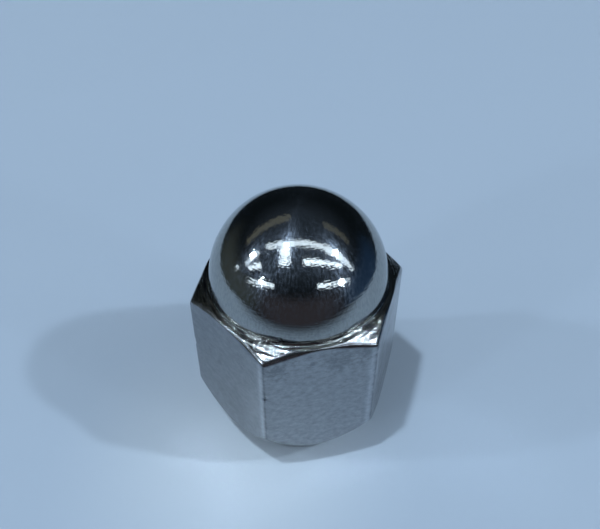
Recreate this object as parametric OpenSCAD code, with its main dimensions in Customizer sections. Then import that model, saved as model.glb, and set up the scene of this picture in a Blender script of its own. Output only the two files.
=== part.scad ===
// Closed-end wheel nut: a hexagon with a conical seat below and a domed crown above,
// forged in one piece and tapped from the seat's end.
// The origin is the centre of the seat's end face, and +Z runs up through the crown.

/* [Hexagon] */
// Width across the flats, a little under the 21 mm socket that turns it
across_flats = 20.9; // [19.5:0.05:24]
// Height of the hexagon's top above the end of the seat
hexagon_top = 21.1; // [18:0.1:26]
// Radius of the six upright corners
corner_radius = 0.4; // [0.2:0.05:0.8]
// Slope of the chamfer round the top of the hexagon, from level
chamfer_angle = 32; // [20:1:40]

/* [Seat] */
// Included angle of the conical seat
seat_angle = 60; // [50:1:90]
// Diameter of the seat at its small end
seat_end_diameter = 15.8; // [15.2:0.1:17]
// Bevel that breaks the outer edge of the small end
seat_end_bevel = 0.25; // [0.1:0.05:0.4]

/* [Crown] */
// Width of the level shoulder between the hexagon's chamfer and the neck
shoulder_width = 0.75; // [0.5:0.05:1.2]
// Height of the straight neck under the dome
neck_height = 0.4; // [0.35:0.05:2]
// Radius of the fillet between the shoulder and the neck
neck_fillet = 0.25; // [0.1:0.05:0.3]

/* [Bore] */
// Nominal diameter of the wheel stud's thread
stud_diameter = 12; // [10:0.5:12.5]
// Pitch of the stud's thread
thread_pitch = 1.5; // [1:0.25:2]
// Steel left between the drill's point and the top of the dome
cap_thickness = 4.5; // [3:0.25:7]
// Included angle of the drill's point
drill_point_angle = 118; // [110:1:140]
// Width of the countersink round the mouth, beyond the stud's thread
countersink_width = 0.5; // [0.3:0.05:0.7]

/* [Hidden] */
$fn = 96;
past = 1;                                       // how far a cutting shape runs past what it cuts

flat_radius = across_flats / 2;
corner_centre_radius = (flat_radius - corner_radius) / cos(30);
envelope_radius = flat_radius / cos(30) + past;
seat_end_radius = seat_end_diameter / 2;
seat_slope = tan(seat_angle / 2);               // growth in radius for each millimetre of height
chamfer_slope = tan(chamfer_angle);

crown_radius = flat_radius - shoulder_width;
dome_centre = hexagon_top + neck_height;
overall_height = dome_centre + crown_radius;

minor_radius = (stud_diameter - 1.0825 * thread_pitch) / 2;
mouth_radius = stud_diameter / 2 + countersink_width;
drill_point_height = minor_radius / tan(drill_point_angle / 2);
bore_depth = overall_height - cap_thickness - drill_point_height;

function corner_centre(angle) = corner_centre_radius * [cos(angle), sin(angle)];
function on_corner(angle, direction) =
    corner_centre(angle) + corner_radius * [cos(direction), sin(direction)];

// Hexagon with its corners on the X axis, each one rounded to an arc
module hexagon_outline() {
    polygon([for (corner = [0:60:300]) for (side = [-30, 30]) on_corner(corner, corner + side)]);
    for (corner = [0:60:300])
        translate(corner_centre(corner)) circle(r = corner_radius);
}

// Turned shape that cuts the seat's cone and the top chamfer across the hexagon's corners
module turned_envelope() {
    bevel_radius = seat_end_radius + seat_end_bevel * seat_slope;
    rotate_extrude()
        polygon([
            [0, 0],
            [seat_end_radius - seat_end_bevel, 0],
            [bevel_radius, seat_end_bevel],
            [envelope_radius, (envelope_radius - seat_end_radius) / seat_slope],
            [envelope_radius, hexagon_top - (envelope_radius - flat_radius) * chamfer_slope],
            [flat_radius, hexagon_top],
            [0, hexagon_top]
        ]);
}

module hexagon_and_seat() {
    intersection() {
        linear_extrude(height = hexagon_top) hexagon_outline();
        turned_envelope();
    }
}

// Concave fillet that fills the corner between the shoulder and the neck
module fillet_ring() {
    translate([0, 0, hexagon_top])
        rotate_extrude()
            translate([crown_radius, 0])
                difference() {
                    translate([-past, -past]) square(past + neck_fillet);
                    translate([neck_fillet, neck_fillet]) circle(r = neck_fillet);
                }
}

module crown() {
    translate([0, 0, hexagon_top - past]) cylinder(r = crown_radius, h = neck_height + past);
    translate([0, 0, dome_centre]) sphere(r = crown_radius);
    fillet_ring();
}

// Tapping hole at the thread's minor diameter, with the drill's point and a 90 degree countersink
module bore() {
    translate([0, 0, -past]) cylinder(r = minor_radius, h = bore_depth + past);
    translate([0, 0, bore_depth]) cylinder(r1 = minor_radius, r2 = 0, h = drill_point_height);
    translate([0, 0, -past])
        cylinder(r1 = mouth_radius + past, r2 = minor_radius, h = mouth_radius + past - minor_radius);
}

module nut() {
    color("silver")
        difference() {
            union() {
                hexagon_and_seat();
                crown();
            }
            bore();
        }
}

nut();
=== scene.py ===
import math
import bpy
from mathutils import Matrix, Vector


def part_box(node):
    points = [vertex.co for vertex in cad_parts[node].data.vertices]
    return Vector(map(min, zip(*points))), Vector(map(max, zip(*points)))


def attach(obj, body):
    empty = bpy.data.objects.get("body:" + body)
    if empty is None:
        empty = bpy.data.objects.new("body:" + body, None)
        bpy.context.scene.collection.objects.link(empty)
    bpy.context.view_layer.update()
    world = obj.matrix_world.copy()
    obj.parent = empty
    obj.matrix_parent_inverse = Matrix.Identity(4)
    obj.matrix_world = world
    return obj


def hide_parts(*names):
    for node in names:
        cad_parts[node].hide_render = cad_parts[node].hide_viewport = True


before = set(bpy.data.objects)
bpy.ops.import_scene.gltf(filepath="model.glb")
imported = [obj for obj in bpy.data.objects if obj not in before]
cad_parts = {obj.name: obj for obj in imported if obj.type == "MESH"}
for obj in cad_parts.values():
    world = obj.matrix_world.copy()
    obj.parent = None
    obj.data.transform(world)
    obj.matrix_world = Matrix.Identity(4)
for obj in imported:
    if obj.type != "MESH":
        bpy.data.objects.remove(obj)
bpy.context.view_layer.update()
print("frame loaded")

mm = 0.001  # sizes in the dictionaries are millimetres, and Blender's unit is the metre


# small helpers

def toLinear(hexColor):
    # sRGB hex value to the linear colour that the shaders want
    values = [int(hexColor[i:i + 2], 16) / 255 for i in (1, 3, 5)]
    return [v / 12.92 if v <= 0.04045 else ((v + 0.055) / 1.055) ** 2.4 for v in values] + [1.0]


def addNode(tree, kind, inputs=None, **settings):
    # an input that is a node or a socket is linked, and any other value is set
    node = tree.nodes.new(kind)
    for name, value in settings.items():
        setattr(node, name, value)
    for key, value in (inputs or {}).items():
        if isinstance(value, bpy.types.Node):
            value = value.outputs[0]
        if isinstance(value, bpy.types.NodeSocket):
            tree.links.new(value, node.inputs[key])
        else:
            node.inputs[key].default_value = value
    return node


def newMaterial(name):
    material = bpy.data.materials.new(name)
    material.use_nodes = True
    material.node_tree.nodes.clear()
    return material, material.node_tree


def newObject(name, data):
    made = bpy.data.objects.new(name, data)
    bpy.context.collection.objects.link(made)
    return made


def standAt(place, right, up, back):
    # a lamp and a camera look along their own minus Z
    return Matrix.Translation(place) @ Matrix((right, up, back)).transposed().to_4x4()


# the nut's sizes, which are the CAD model's

cadLow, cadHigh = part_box("nut")
nutSizes = {
    "flatRadius": (cadHigh.y - cadLow.y) / 2 / mm,   # half of the width across the flats
    "height": cadHigh.z / mm,
    "hexagonTop": 21.1,
    "chamferAngle": 32.0,       # slope of the top chamfer, from level
    "chamferInset": 0.15,       # the chamfer runs this far inside the flats
    "seatAngle": 60.0,          # included angle of the conical seat
    "seatEndRadius": 7.9,
    "crownRadius": 9.7,
    "cornerSoftness": 0.8,      # degrees by which each upright corner is rounded over
    "seatEndRounding": 0.3,
    "lowerEdgeRounding": 0.35,
    "upperEdgeRounding": 0.9,
    "shoulderRounding": 0.3,
    "roundingRun": 0.62,        # both edges of the chamfer are rounded less where it is narrower than this
    "neckFillet": 0.38,
    "flatUnevenness": 0.02,     # how far forging leaves the flats from true
    "swellsPerMm": 0.35,
    "cornerWear": 0.08,         # deepest of the small nicks along the upright corners
    "nicksPerMm": 0.9,
    "nickNoise": (0.55, 0.75),  # noise at which a nick starts, and at which it is full
    "nickReach": (0.4, 1.8),    # degrees from the corner between which the nicks fade out
    "wearSeed": 4.0,            # picks the pattern of the unevenness and the nicks
    "dents": [                  # place, radius and depth of the larger nicks
        ((-6.0, -10.4, 14.6), 0.5, 0.16),
        ((6.0, -10.4, 18.7), 0.6, 0.12),
        ((6.0, -10.4, 15.1), 0.45, 0.14),
        ((6.0, -10.4, 12.3), 0.6, 0.1),
        ((12.0, 0.0, 8.4), 0.5, 0.12),
        ((6.0, 10.4, 16.9), 0.5, 0.14),
        ((-6.0, 10.4, 9.5), 0.6, 0.1),
        ((-12.0, 0.0, 13.2), 0.45, 0.1),
    ],
    "highlightStripOffset": 2.1,         # degrees from each corner to a strip of painted highlight
    "highlightStripReach": (0.4, 1.6),   # degrees from the strip's middle between which it fades out
}
boreSizes = {
    "pitch": 1.5,
    "minorRadius": 5.188,
    "majorRadius": 6.0,
    "mouthRadius": 6.5,
    "tappedTurns": 14,          # turns of thread, counted from the mouth
    "fadeTurns": 2.0,           # the last turns, which the tap's lead leaves shallow
    "crestShare": 0.25,         # flats of the thread, as shares of a pitch, at the minor radius
    "rootShare": 0.125,         # and at the major radius
    "tipAngle": 118.0,          # of the drill's point
    "steelAbove": 4.5,          # left between that point and the top of the crown
}
meshDetail = {
    "columnsPerCorner": 40,     # an even number, so that one column lies on the corner
    "crowding": 1.6,            # above 1 draws the columns together at the corners
    "seatEndRows": 4,
    "seatRows": 14,
    "wallRows": 76,
    "chamferRows": 8,
    "shoulderRows": 3,
    "domeRows": 56,
    "arcSteps": 7,
    "flankRows": 3,
    "tipRows": (1, 0.7, 0.35, 0),   # how far up the drill's point each row of it lies, as a share
    "weldReach": 2e-7,          # metres, joins the seam and the poles
}


# the nut's profile, with one row of the mesh for each point

def unitDirection(x, y):
    length = math.hypot(x, y)
    return (x / length, y / length)


def cornerArc(before, after, radius, steps):
    # offsets from a sharp corner to the points of its rounding; before and after are unit directions
    cross = before[0] * after[1] - before[1] * after[0]
    turn = math.atan2(cross, before[0] * after[0] + before[1] * after[1])
    reach = radius * math.tan(abs(turn) / 2)
    side = 1 if turn > 0 else -1
    start = (-before[0] * reach, -before[1] * reach)
    centre = (start[0] - before[1] * radius * side, start[1] + before[0] * radius * side)
    first = math.atan2(start[1] - centre[1], start[0] - centre[0])
    angles = [first + turn * i / steps for i in range(steps + 1)]
    return [(centre[0] + radius * math.cos(a), centre[1] + radius * math.sin(a)) for a in angles]


def rowsBetween(first, last, count):
    # evenly spread, and in the zone of the last
    rows = []
    for i in range(1, count + 1):
        share = i / (count + 1)
        row = {key: [a + (b - a) * share for a, b in zip(first[key], last[key])]
               for key in ("place", "slide", "squeeze")}
        rows.append(dict(row, zone=last["zone"]))
    return rows


zones = {"bore": 0, "seat": 1, "flats": 2, "shoulder": 3, "crown": 4}     # each has its own finish


def outerRows(size, detail):
    # from the bore's mouth over the seat, the flats, the chamfer and the shoulder to the neck
    flat = size["flatRadius"]
    seatRise = 1 / math.tan(math.radians(size["seatAngle"] / 2))
    chamferDrop = math.tan(math.radians(size["chamferAngle"]))
    seatUp = unitDirection(1, seatRise)
    chamferUp = unitDirection(-1, chamferDrop)
    outward, inward, up = (1, 0), (-1, 0), (0, 1)
    # slide is how a corner moves for each millimetre that the wall stands out past the middle of a flat;
    # a tight corner's rounding shrinks where the chamfer beside it is narrow; zone is the run below it
    corners = [
        {"place": (boreSizes["mouthRadius"], 0), "slide": (0, 0), "zone": "seat"},
        {"place": (size["seatEndRadius"], 0), "slide": (0, 0), "zone": "seat",
         "between": detail["seatEndRows"], "turn": (outward, seatUp), "rounding": size["seatEndRounding"]},
        {"place": (flat, (flat - size["seatEndRadius"]) * seatRise), "slide": (1, seatRise), "zone": "seat",
         "between": detail["seatRows"], "turn": (seatUp, up), "rounding": size["lowerEdgeRounding"]},
        {"place": (flat, size["hexagonTop"] - size["chamferInset"] * chamferDrop),
         "slide": (1, -chamferDrop), "zone": "flats", "tight": True,
         "between": detail["wallRows"], "turn": (up, chamferUp), "rounding": size["upperEdgeRounding"]},
        {"place": (flat - size["chamferInset"], size["hexagonTop"]), "slide": (0, 0), "zone": "shoulder",
         "tight": True, "between": detail["chamferRows"], "turn": (chamferUp, inward),
         "rounding": size["shoulderRounding"]},
        {"place": (size["crownRadius"], size["hexagonTop"]), "slide": (0, 0), "zone": "shoulder",
         "between": detail["shoulderRows"], "turn": (inward, up), "rounding": size["neckFillet"]},
    ]
    rows = []
    for corner in corners:
        offsets = [(0, 0)]
        if "turn" in corner:
            offsets = cornerArc(*corner["turn"], corner["rounding"], detail["arcSteps"])
        arcRows = []
        for dr, dz in offsets:
            row = {"place": list(corner["place"]), "slide": list(corner["slide"]), "squeeze": [0, 0],
                   "zone": zones[corner["zone"]]}
            if corner.get("tight"):
                row["squeeze"] = [dr, dz]
            else:
                row["place"] = [corner["place"][0] + dr, corner["place"][1] + dz]
            arcRows.append(row)
        if rows:
            rows += rowsBetween(rows[-1], arcRows[0], corner["between"])
        rows += arcRows
    return rows


def domeRows(size, detail):
    # from the neck to the pole, which is the last row
    centre = size["height"] - size["crownRadius"]
    rows = []
    for i in range(detail["domeRows"] + 1):
        angle = math.pi / 2 * i / detail["domeRows"]
        radius = size["crownRadius"] * math.cos(angle) if i < detail["domeRows"] else 0
        rows.append({"place": [radius, centre + size["crownRadius"] * math.sin(angle)],
                     "slide": [0, 0], "squeeze": [0, 0], "zone": zones["crown"]})
    return rows


def boreRows(bore, detail):
    # from the drill's point down to the mouth; a threaded row climbs one pitch as it goes round
    tip = bore["minorRadius"] / math.tan(math.radians(bore["tipAngle"] / 2))
    depth = nutSizes["height"] - bore["steelAbove"] - tip
    rows = [{"place": [bore["minorRadius"] * (1 - share), depth + tip * share], "lift": 0}
            for share in detail["tipRows"]]
    flankShare = (1 - bore["crestShare"] - bore["rootShare"]) / 2
    deep = bore["majorRadius"] - bore["minorRadius"]
    steps = detail["flankRows"]
    oneTurn = [(0, 0)]
    oneTurn += [(bore["crestShare"] + flankShare * i / steps, deep * i / steps) for i in range(steps + 1)]
    oneTurn += [(1 - flankShare * i / steps, deep * i / steps) for i in range(steps, 0, -1)]
    rows.append({"place": [bore["minorRadius"], bore["tappedTurns"] * bore["pitch"]], "lift": 1})
    for turn in range(bore["tappedTurns"] - 1, -2, -1):
        for share, cut in reversed(oneTurn):
            rows.append({"place": [bore["minorRadius"] + cut, (turn + share) * bore["pitch"]], "lift": 1})
    return [dict(row, slide=[0, 0], squeeze=[0, 0], zone=zones["bore"]) for row in rows]


def profilePoints(name):
    # loose points, one for each row, with the values that the node tree reads from them
    outer = outerRows(nutSizes, meshDetail) + domeRows(nutSizes, meshDetail)
    rows = boreRows(boreSizes, meshDetail) + [dict(row, lift=0) for row in outer]
    mesh = bpy.data.meshes.new(name)
    mesh.from_pydata([(row["place"][0], 0, row["place"][1]) for row in rows], [], [])
    for key in ("slide", "squeeze"):
        layer = mesh.attributes.new(key, "FLOAT_VECTOR", "POINT")
        for point, row in zip(layer.data, rows):
            point.vector = (row[key][0], 0, row[key][1])
    for key in ("lift", "zone"):
        layer = mesh.attributes.new(key, "FLOAT", "POINT")
        for point, row in zip(layer.data, rows):
            point.value = row[key]
    return mesh


# node tree that turns the profile about Z, swells it to the hexagon and winds the thread

treeInputs = {
    "Rows": ("NodeSocketInt", 2),
    "Columns per Corner": ("NodeSocketInt", meshDetail["columnsPerCorner"]),
    "Crowding": ("NodeSocketFloat", meshDetail["crowding"]),
    "Flat Radius": ("NodeSocketFloat", nutSizes["flatRadius"]),
    "Corner Softness": ("NodeSocketFloat", nutSizes["cornerSoftness"]),
    "Chamfer Angle": ("NodeSocketFloat", nutSizes["chamferAngle"]),
    "Chamfer Inset": ("NodeSocketFloat", nutSizes["chamferInset"]),
    "Rounding Run": ("NodeSocketFloat", nutSizes["roundingRun"]),
    "Pitch": ("NodeSocketFloat", boreSizes["pitch"]),
    "Thread Top": ("NodeSocketFloat", boreSizes["tappedTurns"] * boreSizes["pitch"]),
    "Thread Fade": ("NodeSocketFloat", boreSizes["fadeTurns"] * boreSizes["pitch"]),
    "Mouth Radius": ("NodeSocketFloat", boreSizes["mouthRadius"]),
    "Minor Radius": ("NodeSocketFloat", boreSizes["minorRadius"]),
    "Unevenness": ("NodeSocketFloat", nutSizes["flatUnevenness"]),
    "Corner Wear": ("NodeSocketFloat", nutSizes["cornerWear"]),
    "Seed": ("NodeSocketFloat", nutSizes["wearSeed"]),
}
sides = 6
fullTurn = 360                  # degrees
sixth = fullTurn / sides        # the part of it that belongs to one corner of the hexagon
halfway = 0.5                   # tells one whole number from the next, and is a noise's middle value


def placeRoundAxis(tree, radius, cosine, sine, height):
    x = addNode(tree, "ShaderNodeMath", {0: radius, 1: cosine}, operation="MULTIPLY")
    y = addNode(tree, "ShaderNodeMath", {0: radius, 1: sine}, operation="MULTIPLY")
    return addNode(tree, "ShaderNodeCombineXYZ", {0: x, 1: y, 2: height})


def buildNutTree(name, finishes):
    tree = bpy.data.node_groups.new(name, "GeometryNodeTree")
    tree.interface.new_socket("Profile", in_out="INPUT", socket_type="NodeSocketGeometry")
    for label, (kind, value) in treeInputs.items():
        tree.interface.new_socket(label, in_out="INPUT", socket_type=kind).default_value = value
    tree.interface.new_socket("Nut", in_out="OUTPUT", socket_type="NodeSocketGeometry")
    size = addNode(tree, "NodeGroupInput").outputs

    # a flat grid whose rows are the profile's points and whose columns go once round the axis
    columns = addNode(tree, "ShaderNodeMath", {0: size["Columns per Corner"], 1: sides},
                      operation="MULTIPLY")
    columnPoints = addNode(tree, "ShaderNodeMath", {0: columns, 1: 1}, operation="ADD")
    grid = addNode(tree, "GeometryNodeMeshGrid", {"Vertices X": columnPoints, "Vertices Y": size["Rows"]})
    index = addNode(tree, "GeometryNodeInputIndex")
    row = addNode(tree, "ShaderNodeMath", {0: index, 1: size["Rows"]}, operation="MODULO")
    column = addNode(tree, "ShaderNodeMath", {0: index, 1: size["Rows"]}, operation="DIVIDE")
    column = addNode(tree, "ShaderNodeMath", {0: column}, operation="FLOOR")

    # what the profile says about each row
    fromRow = {}
    for key in ("place", "slide", "squeeze", "lift"):
        kind = "FLOAT" if key == "lift" else "FLOAT_VECTOR"
        if key == "place":
            source = addNode(tree, "GeometryNodeInputPosition")
        else:
            source = addNode(tree, "GeometryNodeInputNamedAttribute", {"Name": key}, data_type=kind)
        fromRow[key] = addNode(tree, "GeometryNodeSampleIndex",
                               {"Geometry": size["Profile"], "Value": source, "Index": row}, data_type=kind)

    # angle round the axis: each corner is the middle of its own sixth, with columns crowded there
    sixths = addNode(tree, "ShaderNodeMath", {0: column, 1: size["Columns per Corner"]}, operation="DIVIDE")
    corner = addNode(tree, "ShaderNodeMath", {0: sixths}, operation="FLOOR")
    within = addNode(tree, "ShaderNodeMath", {0: sixths}, operation="FRACT")
    within = addNode(tree, "ShaderNodeMath", {0: within, 1: 2, 2: -1}, operation="MULTIPLY_ADD")
    side = addNode(tree, "ShaderNodeMath", {0: within}, operation="SIGN")
    away = addNode(tree, "ShaderNodeMath", {0: within}, operation="ABSOLUTE")
    away = addNode(tree, "ShaderNodeMath", {0: away, 1: size["Crowding"]}, operation="POWER")
    away = addNode(tree, "ShaderNodeMath", {0: away, 1: sixth / 2}, operation="MULTIPLY")
    degrees = addNode(tree, "ShaderNodeMath", {0: corner, 1: sixth}, operation="MULTIPLY")
    degrees = addNode(tree, "ShaderNodeMath", {0: away, 1: side, 2: degrees}, operation="MULTIPLY_ADD")
    angle = addNode(tree, "ShaderNodeMath", {0: degrees}, operation="RADIANS")
    cosine = addNode(tree, "ShaderNodeMath", {0: angle}, operation="COSINE")
    sine = addNode(tree, "ShaderNodeMath", {0: angle}, operation="SINE")

    # distance from the axis to the hexagon's wall, with its corners rounded over
    softAway = addNode(tree, "ShaderNodeMath", {0: size["Corner Softness"], 1: 2}, operation="POWER")
    softAway = addNode(tree, "ShaderNodeMath", {0: away, 1: away, 2: softAway}, operation="MULTIPLY_ADD")
    softAway = addNode(tree, "ShaderNodeMath", {0: softAway}, operation="SQRT")
    fromFlat = addNode(tree, "ShaderNodeMath", {0: sixth / 2, 1: softAway}, operation="SUBTRACT")
    fromFlat = addNode(tree, "ShaderNodeMath", {0: fromFlat}, operation="RADIANS")
    fromFlat = addNode(tree, "ShaderNodeMath", {0: fromFlat}, operation="COSINE")
    wall = addNode(tree, "ShaderNodeMath", {0: size["Flat Radius"], 1: fromFlat}, operation="DIVIDE")
    growth = addNode(tree, "ShaderNodeMath", {0: wall, 1: size["Flat Radius"]}, operation="SUBTRACT")

    # roundings beside the chamfer shrink where it is narrow, at the middle of each flat
    chamferCosine = addNode(tree, "ShaderNodeMath", {0: size["Chamfer Angle"]}, operation="RADIANS")
    chamferCosine = addNode(tree, "ShaderNodeMath", {0: chamferCosine}, operation="COSINE")
    chamferRun = addNode(tree, "ShaderNodeMath", {0: growth, 1: size["Chamfer Inset"]}, operation="ADD")
    chamferRun = addNode(tree, "ShaderNodeMath", {0: chamferRun, 1: chamferCosine}, operation="DIVIDE")
    keep = addNode(tree, "ShaderNodeMath", {0: chamferRun, 1: size["Rounding Run"]}, operation="DIVIDE")
    keep = addNode(tree, "ShaderNodeMath", {0: keep, 1: 1}, operation="MINIMUM")

    # section at this angle
    section = fromRow["place"]
    for key, share in (("slide", growth), ("squeeze", keep)):
        shift = addNode(tree, "ShaderNodeVectorMath", {0: fromRow[key], "Scale": share}, operation="SCALE")
        section = addNode(tree, "ShaderNodeVectorMath", {0: section, 1: shift}, operation="ADD")
    section = addNode(tree, "ShaderNodeSeparateXYZ", {0: section})
    radius, height = section.outputs["X"], section.outputs["Z"]

    # thread: its rows climb a pitch a turn, stop at both ends, open into the countersink and fade at
    # the top; the first column stands half a sixth before the first corner
    turnShare = addNode(tree, "ShaderNodeMath", {0: degrees, 1: sixth / 2}, operation="ADD")
    turnShare = addNode(tree, "ShaderNodeMath", {0: turnShare, 1: fullTurn}, operation="DIVIDE")
    climb = addNode(tree, "ShaderNodeMath", {0: turnShare, 1: size["Pitch"]}, operation="MULTIPLY")
    climb = addNode(tree, "ShaderNodeMath", {0: climb, 1: fromRow["lift"], 2: height},
                    operation="MULTIPLY_ADD")
    threadHeight = addNode(tree, "ShaderNodeClamp", {"Value": climb, "Max": size["Thread Top"]})
    toTop = addNode(tree, "ShaderNodeMath", {0: size["Thread Top"], 1: threadHeight}, operation="SUBTRACT")
    fade = addNode(tree, "ShaderNodeMath", {0: toTop, 1: size["Thread Fade"]}, operation="DIVIDE",
                   use_clamp=True)
    cut = addNode(tree, "ShaderNodeMath", {0: radius, 1: size["Minor Radius"]}, operation="SUBTRACT")
    cut = addNode(tree, "ShaderNodeMath", {0: cut, 1: fade, 2: size["Minor Radius"]},
                  operation="MULTIPLY_ADD")
    sink = addNode(tree, "ShaderNodeMath", {0: size["Mouth Radius"], 1: threadHeight}, operation="SUBTRACT")
    cut = addNode(tree, "ShaderNodeMath", {0: cut, 1: sink}, operation="MAXIMUM")
    threaded = addNode(tree, "ShaderNodeMath", {0: fromRow["lift"], 1: halfway}, operation="GREATER_THAN")
    radius = addNode(tree, "ShaderNodeMix", {0: threaded, 2: radius, 3: cut})
    height = addNode(tree, "ShaderNodeMix", {0: threaded, 2: height, 3: threadHeight})

    # forged flats are a little out of true, and the corners carry small nicks
    trueForm = placeRoundAxis(tree, radius, cosine, sine, height)
    onWall = addNode(tree, "ShaderNodeSeparateXYZ", {0: fromRow["slide"]}).outputs["X"]
    swell = addNode(tree, "ShaderNodeTexNoise", {
        "Vector": trueForm, "W": size["Seed"], "Scale": nutSizes["swellsPerMm"]}, noise_dimensions="4D")
    sway = addNode(tree, "ShaderNodeMath", {0: swell, 1: halfway}, operation="SUBTRACT")
    sway = addNode(tree, "ShaderNodeMath", {0: sway, 1: size["Unevenness"]}, operation="MULTIPLY")
    near, far = nutSizes["nickReach"]
    nearCorner = addNode(tree, "ShaderNodeMapRange", {"Value": away, "From Min": near, "From Max": far,
                                                      "To Min": 1.0, "To Max": 0.0})
    nick = addNode(tree, "ShaderNodeTexNoise", {
        "Vector": trueForm, "W": size["Seed"], "Scale": nutSizes["nicksPerMm"], "Detail": 3.0},
        noise_dimensions="4D")
    start, full = nutSizes["nickNoise"]
    nick = addNode(tree, "ShaderNodeMapRange", {"Value": nick, "From Min": start, "From Max": full})
    nick = addNode(tree, "ShaderNodeMath", {0: nick, 1: nearCorner}, operation="MULTIPLY")
    nick = addNode(tree, "ShaderNodeMath", {0: nick, 1: size["Corner Wear"]}, operation="MULTIPLY")
    sway = addNode(tree, "ShaderNodeMath", {0: sway, 1: nick}, operation="SUBTRACT")
    for place, reach, depth in nutSizes["dents"]:
        gap = addNode(tree, "ShaderNodeVectorMath", {0: trueForm, 1: place}, operation="DISTANCE")
        dent = addNode(tree, "ShaderNodeMapRange", {
            "Value": gap.outputs["Value"], "From Max": reach, "To Min": depth, "To Max": 0.0},
            interpolation_type="SMOOTHSTEP")
        sway = addNode(tree, "ShaderNodeMath", {0: sway, 1: dent}, operation="SUBTRACT")
    sway = addNode(tree, "ShaderNodeMath", {0: sway, 1: onWall}, operation="MULTIPLY")
    wornRadius = addNode(tree, "ShaderNodeMath", {0: radius, 1: sway}, operation="ADD")
    place = placeRoundAxis(tree, wornRadius, cosine, sine, height)
    place = addNode(tree, "ShaderNodeVectorMath", {0: place, "Scale": mm}, operation="SCALE")

    # the zone of each face, read from the profile's point above it
    faceRows = addNode(tree, "ShaderNodeMath", {0: size["Rows"], 1: 1}, operation="SUBTRACT")
    faceRow = addNode(tree, "ShaderNodeMath", {0: index, 1: faceRows}, operation="MODULO")
    faceRow = addNode(tree, "ShaderNodeMath", {0: faceRow, 1: 1}, operation="ADD")
    zone = addNode(tree, "GeometryNodeInputNamedAttribute", {"Name": "zone"})
    zone = addNode(tree, "GeometryNodeSampleIndex",
                   {"Geometry": size["Profile"], "Value": zone, "Index": faceRow})

    # a strip on one side of each upright corner, where the flats' finish paints a highlight
    fromStrip = addNode(tree, "ShaderNodeMath", {0: away, 1: side, 2: nutSizes["highlightStripOffset"]},
                        operation="MULTIPLY_ADD")
    fromStrip = addNode(tree, "ShaderNodeMath", {0: fromStrip}, operation="ABSOLUTE")
    near, far = nutSizes["highlightStripReach"]
    paintedHighlightStrip = addNode(tree, "ShaderNodeMapRange", {"Value": fromStrip, "From Min": near, "From Max": far,
                                                   "To Min": 1.0, "To Max": 0.0})

    # what the finishes read is stored, the grid takes its shape, and each zone gets its finish
    form = grid.outputs["Mesh"]
    for key, value, domain in (("zone", zone, "FACE"), ("fromCorner", away, "POINT"),
                               ("paintedHighlightStrip", paintedHighlightStrip, "POINT")):
        form = addNode(tree, "GeometryNodeStoreNamedAttribute",
                       {"Geometry": form, "Name": key, "Value": value}, domain=domain)
    form = addNode(tree, "GeometryNodeSetPosition", {"Geometry": form, "Position": place})
    form = addNode(tree, "GeometryNodeMergeByDistance",
                   {"Geometry": form, "Distance": meshDetail["weldReach"]})
    form = addNode(tree, "GeometryNodeSetShadeSmooth", {"Geometry": form})
    form = addNode(tree, "GeometryNodeRealizeInstances", {"Geometry": form})
    faceZone = addNode(tree, "GeometryNodeInputNamedAttribute", {"Name": "zone"})
    for key, finish in finishes.items():
        chosen = addNode(tree, "ShaderNodeMath", {0: faceZone, 1: zones[key], 2: halfway},
                         operation="COMPARE")
        form = addNode(tree, "GeometryNodeSetMaterial",
                       {"Geometry": form, "Selection": chosen, "Material": finish})
    addNode(tree, "NodeGroupOutput", {"Nut": form})
    return tree


def makeNut(name, finishes):
    source = newObject(name + "Profile", profilePoints(name + "Profile"))
    print("profile laid out,", len(source.data.vertices), "rows")
    modifier = source.modifiers.new("form", "NODES")
    modifier.node_group = buildNutTree("hexagonNut", finishes)
    chosen = {label: value for label, (kind, value) in treeInputs.items()}
    chosen["Rows"] = len(source.data.vertices)
    for item in modifier.node_group.interface.items_tree:
        if item.item_type == "SOCKET" and item.in_out == "INPUT" and item.name in chosen:
            modifier[item.identifier] = chosen[item.name]
    shaped = source.evaluated_get(bpy.context.evaluated_depsgraph_get())
    mesh = bpy.data.meshes.new_from_object(shaped)
    mesh.name = name
    mesh.materials.pop(index=0)     # the grid's own empty slot
    source.modifiers.remove(modifier)
    bpy.data.objects.remove(source)
    return newObject(name, mesh)


# finishes: one bright nickel-chromium plating, which copies whatever is below it, and bare steel in the
# bore; widths and depths are millimetres, and most of a noise's values lie in noiseRange

noiseRange = (0.35, 0.65)
platingColor = "#A2A39F"        # thin commercial chromium over nickel, greyer and warmer than silver
crownFinish = {
    "roughness": 0.06,          # buffed to a mirror
    "glowRoughness": 0.33,      # fine buffing scratches spread a faint glow round each lamp
    "glowColor": "#9DAABB",
    "glowShare": (0.03, 0.21),  # least and most of the light that the scratches take
    "glowNoise": (0.41, 0.69),  # noise at which they take the least and the most
    "stretch": 0.6,             # the scratches run round the crown and spread the glow up and down it
    "stretchTurn": 0.25,        # of a full turn, from along the scratches to across them
    "streakWidth": 0.24,        # the glow comes and goes in upright streaks, drawn coarse
    "streakLength": 0.5,
    "ringWidth": 0.22,          # rings that the buffing wheel leaves round the crown, drawn coarse
    "ringBreak": 3.0,           # how often the rings are broken on their way round
    "ringDepth": 0.008,
    "peelWidth": 0.28,          # orange peel of the plating, drawn coarse
    "peelDepth": 0.01,
}
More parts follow.
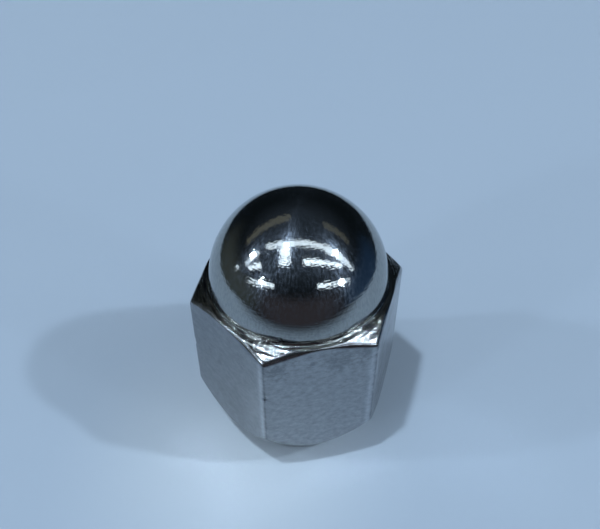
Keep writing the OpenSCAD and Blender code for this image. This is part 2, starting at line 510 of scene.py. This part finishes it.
flatFinish = {
    "roughness": (0.16, 0.26),  # plating over a forged face, satin to the eye, in smooth and rough patches
    "patchFineness": 0.35,      # how many patches there are for each mark
    "markLength": 0.8,          # marks of the forging die, a little longer round the hexagon than up it
    "markWidth": 0.52,
    "markGrit": 0.72,           # how much the finest of the marks show
    "markDepth": 0.014,
    "pitWidth": 0.4,
    "pitDepth": 0.008,
    "pitNoise": (0.62, 0.72),   # noise at which a pit starts, and at which it is full
    "darkest": "#848688",       # the colour in the hollows of the marks
    "palest": "#A7A8AA",
    "markShade": (0.18, 1.02),  # shares of the way from darkest to palest, for the marks' hollows and tops
    "pitShade": 0.45,           # how much darker the pits are, as such a share
    "leftPaintedShade": 0.66,          # painted shade: factor by which the faces to the left have less of that share, which makes them darker
    "leftPaintedShadeReach": (-7.5, -4.5),  # x between which that factor fades out
    "edgeColor": "#3F4347",     # darker along the upright corners
    "edgeShare": 0.45,
    "edgeReach": (0.9, 1.9),    # degrees from the corner between which the dullness fades out
    "edgeRaggedness": 2.0,      # degrees by which the marks push that fade about
    "paintedHighlightColor": "#C4C6C9",  # painted highlight, a bright strip beside each corner
    "darkSpotFade": (0.5, 1.5),   # shares of its radius between which a darker spot fades out
    "darkSpotsAndPaintedShade": [                # place, radius and strength of the darker spots: those along the top of the front flat and the two broad ones on the flat to its left are painted shade, the two small ones on that flat are dark marks
        ((-4.6, -10.45, 18.8), 1.6, 0.6),
        ((-0.9, -10.45, 19.0), 0.5, 0.7),
        ((2.0, -10.45, 18.8), 2.4, 0.5),
        ((5.0, -10.45, 19.4), 1.8, 0.5),
        ((-8.8, -5.7, 10.6), 0.45, 0.8),
        ((-9.75, -4.0, 14.0), 0.55, 0.7),
        ((-8.0, -7.2, 17.5), 1.4, 0.15),
        ((-8.4, -6.2, 8.0), 4.5, 0.3),
    ],
}
shoulderFinish = {
    "roughness": 0.11,          # plating over a turned chamfer, bright between the tool's rings
    "ringWidth": 0.21,          # feed of the lathe tool, drawn coarse
    "ringBreak": 5.0,
    "ringDepth": 0.07,
    "chatterWidth": 0.24,       # marks across the rings
    "chatterDepth": 0.045,
    "paintedGrooveShade": "#404246",   # painted shade in the grooves between the rings
    "grooveNoise": (0.41, 0.53),    # noise between which a groove's painted shade gives way to the plating's colour
}
seatFinish = {
    "roughness": 0.2,           # the seat is turned finer, with less to catch the light
    "ringWidth": 0.12,
    "ringBreak": 1.2,
    "ringDepth": 0.01,
    "chatterWidth": 0.5,
    "chatterDepth": 0.006,
    "paintedGrooveShade": "#828384",
    "grooveNoise": (0.41, 0.53),
}
boreFinish = {
    "color": "#8C8A86",         # bare steel that the plating hardly reaches
    "roughness": 0.38,
    "grainWidth": 0.3,
    "grainDepth": 0.003,
}


def placeInMillimetres(tree, up=0):
    # object coordinates in millimetres, counted from this far up the axis
    place = addNode(tree, "ShaderNodeTexCoord").outputs["Object"]
    return addNode(tree, "ShaderNodeMapping", {"Vector": place, "Location": (0, 0, -up),
                                               "Scale": [1 / mm] * 3})


def aboutAxis(tree, local):
    # direction out from the axis, distance from it and height
    part = addNode(tree, "ShaderNodeSeparateXYZ", {0: local})
    flatPart = addNode(tree, "ShaderNodeCombineXYZ", {0: part.outputs["X"], 1: part.outputs["Y"]})
    around = addNode(tree, "ShaderNodeVectorMath", {0: flatPart}, operation="NORMALIZE")
    reach = addNode(tree, "ShaderNodeVectorMath", {0: flatPart}, operation="LENGTH").outputs["Value"]
    return around, reach, part.outputs["Z"]


def drawnNoise(tree, around, breaks, across, perUnit, detail):
    # noise drawn out into rings or streaks: breaks is how often it changes on the way round the axis,
    # and perUnit how often it does for each unit of across
    drawn = addNode(tree, "ShaderNodeVectorMath", {0: around, "Scale": breaks}, operation="SCALE")
    drawn = addNode(tree, "ShaderNodeSeparateXYZ", {0: drawn})
    run = addNode(tree, "ShaderNodeMath", {0: across, 1: perUnit}, operation="MULTIPLY")
    drawn = addNode(tree, "ShaderNodeCombineXYZ", {0: drawn.outputs["X"], 1: drawn.outputs["Y"], 2: run})
    return addNode(tree, "ShaderNodeTexNoise", {"Vector": drawn, "Scale": 1.0, "Detail": detail})


def makeCrownFinish():
    material, tree = newMaterial("buffedChromiumCrown")
    radius = nutSizes["crownRadius"]
    local = placeInMillimetres(tree, nutSizes["height"] - radius)
    around, reach, height = aboutAxis(tree, local)
    fromTop = addNode(tree, "ShaderNodeMath", {0: reach, 1: height}, operation="ARCTAN2")
    rings = drawnNoise(tree, around, crownFinish["ringBreak"], fromTop,
                       radius / crownFinish["ringWidth"], 2.0)
    peel = addNode(tree, "ShaderNodeTexNoise", {"Vector": local, "Scale": 1 / crownFinish["peelWidth"]})
    peelBump = addNode(tree, "ShaderNodeBump", {"Height": peel, "Distance": crownFinish["peelDepth"] * mm})
    ringBump = addNode(tree, "ShaderNodeBump", {"Height": rings, "Normal": peelBump,
                                                "Distance": crownFinish["ringDepth"] * mm})
    streaks = drawnNoise(tree, around, radius / crownFinish["streakWidth"], fromTop,
                         radius / crownFinish["streakLength"], 3.0)
    low, high = crownFinish["glowNoise"]
    least, most = crownFinish["glowShare"]
    glow = addNode(tree, "ShaderNodeMapRange", {"Value": streaks, "From Min": low, "From Max": high,
                                                "To Min": least, "To Max": most})
    mirror = addNode(tree, "ShaderNodeBsdfPrincipled", {
        "Base Color": toLinear(platingColor), "Metallic": 1.0, "Roughness": crownFinish["roughness"],
        "Normal": ringBump})
    alongScratch = addNode(tree, "ShaderNodeVectorMath", {0: local, 1: (0, 0, 1)},
                           operation="CROSS_PRODUCT")
    scratched = addNode(tree, "ShaderNodeBsdfPrincipled", {
        "Base Color": toLinear(crownFinish["glowColor"]), "Metallic": 1.0,
        "Roughness": crownFinish["glowRoughness"], "Normal": ringBump, "Tangent": alongScratch,
        "Anisotropic": crownFinish["stretch"], "Anisotropic Rotation": crownFinish["stretchTurn"]})
    shader = addNode(tree, "ShaderNodeMixShader", {0: glow, 1: mirror, 2: scratched})
    addNode(tree, "ShaderNodeOutputMaterial", {"Surface": shader})
    return material


def makeFlatFinish():
    material, tree = newMaterial("chromiumOnForgedFlats")
    local = placeInMillimetres(tree)
    noiseLow, noiseHigh = noiseRange
    across, along = 1 / flatFinish["markWidth"], 1 / flatFinish["markLength"]
    marksPlace = addNode(tree, "ShaderNodeMapping", {"Vector": local, "Scale": (along, along, across)})
    marks = addNode(tree, "ShaderNodeTexNoise", {"Vector": marksPlace, "Scale": 1.0, "Detail": 5.0,
                                                 "Roughness": flatFinish["markGrit"]})
    markBump = addNode(tree, "ShaderNodeBump", {"Height": marks, "Distance": flatFinish["markDepth"] * mm})
    pits = addNode(tree, "ShaderNodeTexNoise", {"Vector": local, "Scale": 1 / flatFinish["pitWidth"],
                                                "Detail": 3.0})
    low, high = flatFinish["pitNoise"]
    pits = addNode(tree, "ShaderNodeMapRange", {"Value": pits, "From Min": low, "From Max": high,
                                                "To Min": 1.0, "To Max": 0.0})
    pitBump = addNode(tree, "ShaderNodeBump", {"Height": pits, "Normal": markBump,
                                               "Distance": flatFinish["pitDepth"] * mm})
    patches = addNode(tree, "ShaderNodeTexNoise", {"Vector": marksPlace, "Detail": 3.0,
                                                   "Scale": flatFinish["patchFineness"]})
    least, most = flatFinish["roughness"]
    rough = addNode(tree, "ShaderNodeMapRange", {"Value": patches, "To Min": least, "To Max": most,
                                                 "From Min": noiseLow, "From Max": noiseHigh})

    # shade is the place between the darkest plating and the palest
    least, most = flatFinish["markShade"]
    shade = addNode(tree, "ShaderNodeMapRange", {"Value": marks, "To Min": least, "To Max": most,
                                                 "From Min": noiseLow, "From Max": noiseHigh})
    shade = addNode(tree, "ShaderNodeMath", {0: pits, 1: flatFinish["pitShade"], 2: shade},
                    operation="MULTIPLY_ADD")
    shade = addNode(tree, "ShaderNodeMath", {0: shade, 1: flatFinish["pitShade"]}, operation="SUBTRACT")
    # painted shade: the faces to the left are made darker
    side = addNode(tree, "ShaderNodeSeparateXYZ", {0: local}).outputs["X"]
    left, right = flatFinish["leftPaintedShadeReach"]
    leftPaintedShadeFactor = addNode(tree, "ShaderNodeMapRange", {"Value": side, "From Min": left, "From Max": right,
                                                "To Min": flatFinish["leftPaintedShade"], "To Max": 1.0})
    shade = addNode(tree, "ShaderNodeMath", {0: shade, 1: leftPaintedShadeFactor}, operation="MULTIPLY")
    near, far = flatFinish["darkSpotFade"]
    # darker spots: painted shade along the top of the front flat and on the flat to its left, and a few
    # dark marks
    for spot, reach, strength in flatFinish["darkSpotsAndPaintedShade"]:
        gap = addNode(tree, "ShaderNodeVectorMath", {0: local, 1: spot}, operation="DISTANCE")
        gap = addNode(tree, "ShaderNodeMath", {0: marks, 1: reach, 2: gap.outputs["Value"]},
                      operation="MULTIPLY_ADD")
        spotDarkening = addNode(tree, "ShaderNodeMapRange", {
            "Value": gap, "From Min": reach * near, "From Max": reach * far,
            "To Min": strength, "To Max": 0.0}, interpolation_type="SMOOTHSTEP")
        shade = addNode(tree, "ShaderNodeMath", {0: shade, 1: spotDarkening}, operation="SUBTRACT")
    color = addNode(tree, "ShaderNodeMix", {0: shade, 6: toLinear(flatFinish["darkest"]),
                                            7: toLinear(flatFinish["palest"])}, data_type="RGBA")

    # painted highlight in a strip beside each corner, and the darker corner itself
    paintedHighlightStrip = addNode(tree, "ShaderNodeAttribute", attribute_name="paintedHighlightStrip").outputs["Fac"]
    paintedHighlightStrip = addNode(tree, "ShaderNodeMath", {0: paintedHighlightStrip, 1: marks}, operation="MULTIPLY")
    color = addNode(tree, "ShaderNodeMix", {0: paintedHighlightStrip, 6: color.outputs[2],
                                            7: toLinear(flatFinish["paintedHighlightColor"])}, data_type="RGBA")
    fromCorner = addNode(tree, "ShaderNodeAttribute", attribute_name="fromCorner").outputs["Fac"]
    ragged = addNode(tree, "ShaderNodeMath", {0: marks, 1: flatFinish["edgeRaggedness"], 2: fromCorner},
                     operation="MULTIPLY_ADD")
    near, far = flatFinish["edgeReach"]
    cornerDarkening = addNode(tree, "ShaderNodeMapRange", {"Value": ragged, "From Min": near, "From Max": far,
                                                    "To Min": flatFinish["edgeShare"], "To Max": 0.0})
    color = addNode(tree, "ShaderNodeMix", {0: cornerDarkening, 6: color.outputs[2],
                                            7: toLinear(flatFinish["edgeColor"])}, data_type="RGBA")
    shader = addNode(tree, "ShaderNodeBsdfPrincipled", {
        "Base Color": color.outputs[2], "Metallic": 1.0, "Roughness": rough, "Normal": pitBump})
    addNode(tree, "ShaderNodeOutputMaterial", {"Surface": shader})
    return material


def makeTurnedFinish(name, turned):
    material, tree = newMaterial(name)
    local = placeInMillimetres(tree)
    around, reach, height = aboutAxis(tree, local)
    rings = drawnNoise(tree, around, turned["ringBreak"], reach, 1 / turned["ringWidth"], 3.0)
    ringBump = addNode(tree, "ShaderNodeBump", {"Height": rings, "Distance": turned["ringDepth"] * mm})
    chatter = addNode(tree, "ShaderNodeTexNoise", {"Vector": local, "Scale": 1 / turned["chatterWidth"]})
    chatterBump = addNode(tree, "ShaderNodeBump", {"Height": chatter, "Normal": ringBump,
                                                   "Distance": turned["chatterDepth"] * mm})
    # painted shade: the grooves between the rings are darker
    low, high = turned["grooveNoise"]
    grooveShade = addNode(tree, "ShaderNodeMapRange", {"Value": rings, "From Min": low, "From Max": high})
    color = addNode(tree, "ShaderNodeMix", {0: grooveShade, 6: toLinear(turned["paintedGrooveShade"]),
                                            7: toLinear(platingColor)}, data_type="RGBA")
    shader = addNode(tree, "ShaderNodeBsdfPrincipled", {
        "Base Color": color.outputs[2], "Metallic": 1.0, "Roughness": turned["roughness"],
        "Normal": chatterBump})
    addNode(tree, "ShaderNodeOutputMaterial", {"Surface": shader})
    return material


def makeBoreFinish():
    material, tree = newMaterial("bareTappedSteel")
    grain = addNode(tree, "ShaderNodeTexNoise", {"Vector": placeInMillimetres(tree),
                                                 "Scale": 1 / boreFinish["grainWidth"], "Detail": 3.0})
    bump = addNode(tree, "ShaderNodeBump", {"Height": grain, "Distance": boreFinish["grainDepth"] * mm})
    shader = addNode(tree, "ShaderNodeBsdfPrincipled", {
        "Base Color": toLinear(boreFinish["color"]), "Metallic": 1.0, "Roughness": boreFinish["roughness"],
        "Normal": bump})
    addNode(tree, "ShaderNodeOutputMaterial", {"Surface": shader})
    return material


finishes = {
    "bore": makeBoreFinish(),
    "seat": makeTurnedFinish("chromiumOnTurnedSeat", seatFinish),
    "flats": makeFlatFinish(),
    "shoulder": makeTurnedFinish("chromiumOnTurnedShoulder", shoulderFinish),
    "crown": makeCrownFinish(),
}
print("finishes made")

nut = makeNut("chromeNut", finishes)
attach(nut, "root")
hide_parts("nut")
print("nut made,", len(nut.data.polygons), "faces")


# floor, lamps, surroundings and camera; x runs to the right of the view, y away from it, in metres

studio = {
    "turn": -12.805,            # degrees from the nut's axes to the view's
    "boardColor": "#9FACB9",    # matt pale grey board, which the cool lamps turn bluer
    "boardRoughness": 0.9,
    "toothPerMm": 0.8,          # faint tooth of the board
    "toothStrength": 0.03,
    "toothDepth": 0.0001,
    "paintedShadowColor": "#303439",
    "paintedShadowFrom": -0.021,         # painted shadow: the board's colour darkens from here to its front edge
    "paintedLightPoolColor": "#B3BDC5",     # painted pool of light, a paler patch of the board in front of the nut
    "paintedLightPoolCentre": (-0.008, -0.01, 0),
    "paintedLightPoolReach": 0.024,
    "boardLeft": -0.115,
    "boardRight": 0.115,
    "boardFront": -0.066,
    "boardBack": 0.125,
    "ceiling": 1.9,
    "lampAim": (0, 0, 0.015),   # middle of the nut
    "level": 1.04,              # sets the lamps so that the board renders about as its colour is written
}
toFrame = Matrix.Rotation(math.radians(studio["turn"]), 4, "Z")     # from the view's axes to the nut's


def makeFloor():
    material, tree = newMaterial("mattBoard")
    place = addNode(tree, "ShaderNodeTexCoord").outputs["Object"]
    tooth = addNode(tree, "ShaderNodeTexNoise", {"Vector": placeInMillimetres(tree), "Detail": 3.0,
                                                 "Scale": studio["toothPerMm"]})
    bump = addNode(tree, "ShaderNodeBump", {"Height": tooth, "Strength": studio["toothStrength"],
                                            "Distance": studio["toothDepth"]})
    forward = addNode(tree, "ShaderNodeVectorMath", {0: place, 1: toFrame @ Vector((0, 1, 0))},
                      operation="DOT_PRODUCT").outputs["Value"]
    # painted shadow, darker toward the board's front edge
    fade = addNode(tree, "ShaderNodeMapRange", {"Value": forward, "From Min": studio["paintedShadowFrom"],
                                                "From Max": studio["boardFront"]},
                   interpolation_type="SMOOTHSTEP")
    color = addNode(tree, "ShaderNodeMix", {0: fade, 6: toLinear(studio["boardColor"]),
                                            7: toLinear(studio["paintedShadowColor"])}, data_type="RGBA")
    # painted pool of light in front of the nut
    away = addNode(tree, "ShaderNodeVectorMath", {0: place, 1: toFrame @ Vector(studio["paintedLightPoolCentre"])},
                   operation="DISTANCE").outputs["Value"]
    paintedLightPool = addNode(tree, "ShaderNodeMapRange", {"Value": away, "From Min": studio["paintedLightPoolReach"],
                                                "From Max": 0.0}, interpolation_type="SMOOTHSTEP")
    color = addNode(tree, "ShaderNodeMix", {0: paintedLightPool, 6: color.outputs[2],
                                            7: toLinear(studio["paintedLightPoolColor"])}, data_type="RGBA")
    shader = addNode(tree, "ShaderNodeBsdfPrincipled", {
        "Base Color": color.outputs[2], "Roughness": studio["boardRoughness"], "Normal": bump})
    addNode(tree, "ShaderNodeOutputMaterial", {"Surface": shader})
    left, right = studio["boardLeft"], studio["boardRight"]
    front, back = studio["boardFront"], studio["boardBack"]
    mesh = bpy.data.meshes.new("floor")
    corners = [(left, front, 0), (right, front, 0), (right, back, 0), (left, back, 0)]
    mesh.from_pydata([toFrame @ Vector(corner) for corner in corners], [], [(0, 1, 2, 3)])
    mesh.materials.append(material)
    floor = newObject("floor", mesh)


# ceiling panels face straight down: name, centre, size, degrees turned, radiance and colour
coolWhite, warmWhite = "#DDEEFF", "#F4F2D6"
ceilingPanels = [
    ("nearRowMiddle", (-0.1, -0.24), (2.66, 0.24), -2, 2.5, coolWhite),
    ("nearRowRight", (3.7, -0.75), (5.0, 0.4), -10, 2.5, coolWhite),
    ("nearRowLeft", (-3.3, -0.5), (2.4, 0.3), 8, 2.5, coolWhite),
    ("crossUpright", (-0.575, -0.65), (0.45, 0.5), 0, 3.0, coolWhite),
    ("crossBar", (-0.66, -1.12), (0.52, 0.3), 0, 4.0, coolWhite),
    ("middleRowRight", (1.6, -1.1), (2.7, 0.28), 0, 4.0, coolWhite),
    ("middleRowLeft", (-3.3, -1.15), (2.0, 0.4), 0, 3.5, coolWhite),
    ("frontRowLeft", (-5.1, -3.4), (5.6, 0.6), 0, 4.5, coolWhite),
    ("frontRowRight", (4.9, -3.4), (6.4, 0.6), 0, 4.5, coolWhite),
    ("sideRowLeft", (-10.5, -0.4), (4.5, 0.5), 0, 4.0, coolWhite),
    ("farRowLeft", (-1.74, 0.97), (2.9, 0.45), 4, 0.15, warmWhite),
    ("farRowRight", (1.98, 0.84), (1.95, 0.4), -2, 0.12, warmWhite),
]
# small lamps are aimed at the nut: name, centre, width, and what each gives of the floor's light
aimedLamps = [
    ("key", (-0.456, -0.361), 0.09, 0.46),
    ("right", (1.944, -0.398), 0.12, 0.21),
    ("left", (-2.7, -0.265), 0.15, 0.09),
    ("frontLeft", (-3.53, -2.92), 0.3, 0.04),
    ("frontRight", (5.38, -3.33), 0.3, 0.03),
]


def addLamp(name, place, aim, size, energy, color=coolWhite, turn=0):
    data = bpy.data.lights.new(name, "AREA")
    data.shape = "RECTANGLE"
    data.size, data.size_y = size
    data.energy = energy * studio["level"]
    data.color = toLinear(color)[:3]
    lamp = newObject(name, data)
    place = toFrame @ Vector(place)
    across = toFrame @ Vector((math.cos(math.radians(turn)), math.sin(math.radians(turn)), 0))
    back = (place - toFrame @ Vector(aim)).normalized()
    up = back.cross(across).normalized()
    across = up.cross(back)
    lamp.matrix_world = standAt(place, across, up, back)
    lamp.visible_camera = False


def lightStage():
    ceiling = studio["ceiling"]
    for name, (x, y), (width, depth), turn, radiance, color in ceilingPanels:
        energy = radiance * math.pi * (width * depth)
        addLamp(name, (x, y, ceiling), (x, y, 0), (width, depth), energy, color, turn)
    for name, (x, y), width, share in aimedLamps:
        # a lamp's light on the floor falls with the distance squared and with its slope
        distance = math.sqrt(x * x + y * y + ceiling * ceiling)
        energy = share * math.pi ** 2 * distance ** 3 / ceiling
        addLamp(name, (x, y, ceiling), studio["lampAim"], (width, width), energy)


# the room round the board: dark, with a grey wall in front, a paler one to the left and a bluish one
# to the right; heights are sines of the angle above level
surroundings = {
    "roomColor": "#12181C",
    "ceilingColor": "#2D3640",
    "ceilingRange": (0.35, 0.85),   # heights where the ceiling starts and where it is full
    "walls": [                  # colour, direction, and cosine of the angle from it where the wall starts
        ("#413E44", (0, -1, 0), 0.4),
        ("#474E4C", (-1, 0, 0), 0.6),
        ("#233A56", (1, 0, 0), 0.75),
    ],
    "wallFull": 0.97,           # cosine at which a wall is full
    "wallRange": (0.42, 0.05),  # heights where the walls start, from above, and where they are full
    "belowColor": "#9FACB9",    # where the board otherwise hides it, for looks from below
    "belowRange": (-0.45, -0.6),
}


def makeSurroundings():
    world = bpy.data.worlds.new("studio")
    bpy.context.scene.world = world
    world.use_nodes = True
    tree = world.node_tree
    tree.nodes.clear()
    direction = addNode(tree, "ShaderNodeTexCoord").outputs["Generated"]
    height = addNode(tree, "ShaderNodeSeparateXYZ", {0: direction}).outputs["Z"]
    start, full = surroundings["wallRange"]
    low = addNode(tree, "ShaderNodeMapRange", {"Value": height, "From Min": start, "From Max": full},
                  interpolation_type="SMOOTHSTEP")
    start, full = surroundings["ceilingRange"]
    high = addNode(tree, "ShaderNodeMapRange", {"Value": height, "From Min": start, "From Max": full},
                   interpolation_type="SMOOTHSTEP")
    color = addNode(tree, "ShaderNodeMix", {0: high, 6: toLinear(surroundings["roomColor"]),
                                            7: toLinear(surroundings["ceilingColor"])}, data_type="RGBA")
    for wallColor, side, start in surroundings["walls"]:
        toward = addNode(tree, "ShaderNodeVectorMath", {0: direction, 1: toFrame @ Vector(side)},
                         operation="DOT_PRODUCT").outputs["Value"]
        share = addNode(tree, "ShaderNodeMapRange", {"Value": toward, "From Min": start,
                                                     "From Max": surroundings["wallFull"]},
                        interpolation_type="SMOOTHSTEP")
        share = addNode(tree, "ShaderNodeMath", {0: share, 1: low}, operation="MULTIPLY")
        color = addNode(tree, "ShaderNodeMix", {0: share, 6: color.outputs[2],
                                                7: toLinear(wallColor)}, data_type="RGBA")
    start, full = surroundings["belowRange"]
    below = addNode(tree, "ShaderNodeMapRange", {"Value": height, "From Min": start, "From Max": full})
    color = addNode(tree, "ShaderNodeMix", {0: below, 6: color.outputs[2],
                                            7: toLinear(surroundings["belowColor"])}, data_type="RGBA")
    background = addNode(tree, "ShaderNodeBackground", {"Color": color.outputs[2]})
    addNode(tree, "ShaderNodeOutputWorld", {"Surface": background})


cameraSetup = {
    "azimuth": studio["turn"],  # degrees round from the front
    "elevation": 43.897,
    "distance": 79.77,          # millimetres from the point it looks at
    "aimHeight": 22.95,
    "aimRight": 0.166,
    "lens": 44.72,
    "clipRange": (0.001, 50),   # metres
}


def addCamera(setup):
    azimuth = math.radians(setup["azimuth"])
    elevation = math.radians(setup["elevation"])
    right = Vector((math.cos(azimuth), math.sin(azimuth), 0))
    back = Vector((math.sin(azimuth) * math.cos(elevation), -math.cos(azimuth) * math.cos(elevation),
                   math.sin(elevation)))
    up = back.cross(right)
    aim = Vector((0, 0, setup["aimHeight"])) + right * setup["aimRight"]
    data = bpy.data.cameras.new("camera")
    data.lens = setup["lens"]
    data.clip_start, data.clip_end = setup["clipRange"]
    camera = newObject("camera", data)
    camera.matrix_world = standAt((aim + back * setup["distance"]) * mm, right, up, back)
    bpy.context.scene.camera = camera


makeFloor()
lightStage()
makeSurroundings()
addCamera(cameraSetup)
bpy.context.scene.view_settings.view_transform = "Standard"
bpy.context.scene.cycles.blur_glossy = 0.0              # these two keep the light that the flats
bpy.context.scene.cycles.sample_clamp_indirect = 0.0    # throw on the board
print("stage and camera set")
